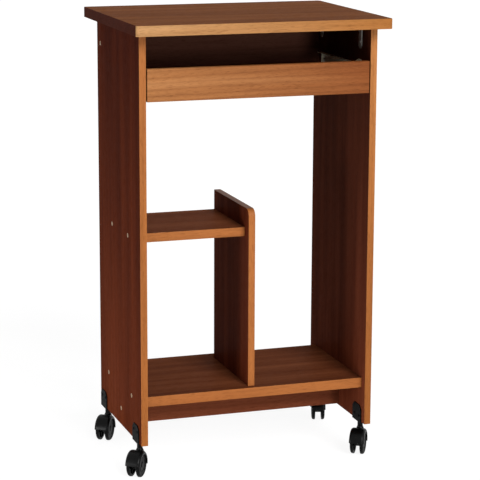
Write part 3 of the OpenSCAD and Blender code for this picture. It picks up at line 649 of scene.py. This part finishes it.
connector_tree = screw_tree("connector_screw", (
    ("Head Radius", 0.004), ("Head Rim", 0.0003), ("Head Height", 0.0025),
    ("Shank Radius", 0.0025), ("Length", 0.042), ("Point Radius", 0.001),
    ("Socket Radius", 0.0022), ("Socket Depth", 0.002)), countersunk_outline, hexagon)
bronze = metal_plate("bronzed_zinc", paint(168, 142, 110), roughness=0.42, metal=0.85)
driven_screws("connector_screws", connector_tree, {"Seed": 4}, bronze)


# Small screws
# Zinc-plated pan-head screws with a cross recess, for the angles, the runners and the
# fascia. The caster brackets have the same in black.
def pan_outline(tree, given):
    """Stations from the recess over the domed head and down the shank, each with its
    height, its radius, and whether the recess's shape takes the radius's place."""
    crown_drop, crown_share, shoulder_share, brim_share = 0.3, 0.78, 0.94, 0.8
    height, rim = given["Head Height"], given["Head Rim"]
    wide, shank = given["Head Radius"], given["Shank Radius"]
    depth = sum_up(tree, "MULTIPLY", given["Socket Depth"], -1)
    crown = sum_up(tree, "MULTIPLY", rim, -crown_drop)
    shoulder = sum_up(tree, "SUBTRACT", rim, height)
    brim = sum_up(tree, "MULTIPLY", height, -brim_share)
    seat = sum_up(tree, "MULTIPLY", height, -1)
    foot = sum_up(tree, "SUBTRACT", seat, given["Length"])
    tip = sum_up(tree, "ADD", foot, shank)
    inner = sum_up(tree, "MULTIPLY", wide, crown_share)
    outer = sum_up(tree, "MULTIPLY", wide, shoulder_share)
    return [(depth, 0, 0), (depth, 0, 1), (0, 0, 1), (crown, inner, 0), (shoulder, outer, 0),
            (brim, wide, 0), (seat, wide, 0), (seat, shank, 0), (tip, shank, 0), (foot, 0, 0)]


def cross(tree, given, angle):
    """Radius of a cross recess at an angle."""
    quarter = math.pi / 2
    least_sine = 0.001
    turned = sum_up(tree, "MODULO", sum_up(tree, "ADD", angle, quarter / 2), quarter)
    within = sum_up(tree, "ABSOLUTE", sum_up(tree, "SUBTRACT", turned, quarter / 2))
    end = sum_up(tree, "DIVIDE", given["Socket Radius"], sum_up(tree, "COSINE", within))
    flank = sum_up(tree, "DIVIDE", given["Arm Half Width"],
                   sum_up(tree, "MAXIMUM", sum_up(tree, "SINE", within), least_sine))
    return sum_up(tree, "MINIMUM", end, flank)


pan_tree = screw_tree("pan_head_screw", (
    ("Head Radius", 0.003), ("Head Rim", 0.0004), ("Head Height", 0.001),
    ("Shank Radius", 0.0015), ("Length", 0.009), ("Socket Radius", 0.0015),
    ("Arm Half Width", 0.0004), ("Socket Depth", 0.0007)), pan_outline, cross)
black_coat = metal_plate("black_coat", paint(5, 5, 5), roughness=0.5, metal=0.0, gloss=0.02)
for seed, (node, finish, slot) in enumerate((
        ("angle_bracket_screws", zinc, "zinc_steel"),
        ("cabinet_runner_screws", zinc, "zinc_steel"),
        ("tray_runner_screws", zinc, "zinc_steel"),
        ("fascia_bracket_screws", zinc, "zinc_steel"),
        ("caster_bracket_screws", black_coat, "black_steel"))):
    driven_screws(node, pan_tree, {"Seed": seed, "Steps Round": 32}, finish)

# Runners, rollers and fascia brackets
# Rolled steel runners in cream epoxy, fixed on the panels and under the tray's edges.
# White nylon rollers turn on rivets, and two zinc angles hold the fascia.
rolled_edge = 0.0002
cream = metal_plate("cream_epoxy", paint(246, 238, 212), roughness=0.4, metal=0.0)
for node in ("left_cabinet_runner", "right_cabinet_runner", "left_tray_runner",
             "right_tray_runner"):
    finished(node, rolled_edge, cream)
roller_edge = 0.0002
nylon, tree, surface = new_finish("white_nylon", roughness=0.42)
clouding = clouds(tree, on_piece(tree), scale=220, detail=2)["Fac"]
nylon_tone = shades(tree, clouding, ((0.3, paint(214, 210, 196)), (0.7, paint(228, 226, 216))))
lay_on(tree, surface, {"Base Color": nylon_tone})
for node in ("left_cabinet_roller", "right_cabinet_roller", "left_tray_roller",
             "right_tray_roller"):
    finished(node, roller_edge, nylon)
finished("fascia_brackets", plate_edge, zinc)


# Casters
# Twin-wheel casters: a black steel bracket on the panel, a dark-plated steel stem, and a
# moulded hood with its two wheels on a steel axle. The plastic is black with a fine grain.
def moulded(name, color, roughness, scuff, gloss):
    """Black moulded plastic with a fine grain, dulled where it is handled or rolls."""
    finish, tree, surface = new_finish(name, roughness, gloss=gloss)
    clean, handled, worn = 0.3, 0.35, 0.75
    less_dull, more_dull = 0.06, 0.14
    place = on_piece(tree)
    cloud = clouds(tree, place, scale=90, detail=4)["Fac"]
    tone = shades(tree, cloud, ((handled, color), (worn, tuple(part + scuff for part in color))))
    dull = follow(tree, cloud, clean, worn, roughness - less_dull, roughness + more_dull)
    grain = clouds(tree, place, scale=1800, detail=1)["Fac"]
    lay_on(tree, surface, {"Base Color": tone, "Roughness": dull,
                           "Normal": relief(tree, grain, strength=0.25, depth=0.0001)})
    return finish


dark_zinc = metal_plate("dark_zinc", paint(46, 46, 48), roughness=0.45, metal=0.6, gloss=0.2)
hood_plastic = moulded("hood_plastic", paint(4, 4, 4), roughness=0.3, scuff=0.001, gloss=0.1)
wheel_plastic = moulded("wheel_plastic", paint(7, 7, 7), roughness=0.42, scuff=0.002, gloss=0.06)
for corner in ("front_left", "front_right", "rear_left", "rear_right"):
    for part, edge, finish, slot in (("_bracket", 0.0004, black_coat, "black_steel"),
                                     ("_stem", 0.0003, dark_zinc, "zinc_steel"),
                                     ("_axle", 0.0003, zinc, "zinc_steel"),
                                     ("_hood", 0.0003, hood_plastic, "caster_plastic"),
                                     ("_inner_wheel", 0.0002, wheel_plastic, "wheel_plastic"),
                                     ("_outer_wheel", 0.0002, wheel_plastic, "wheel_plastic")):
        finished(corner + part, edge, finish)
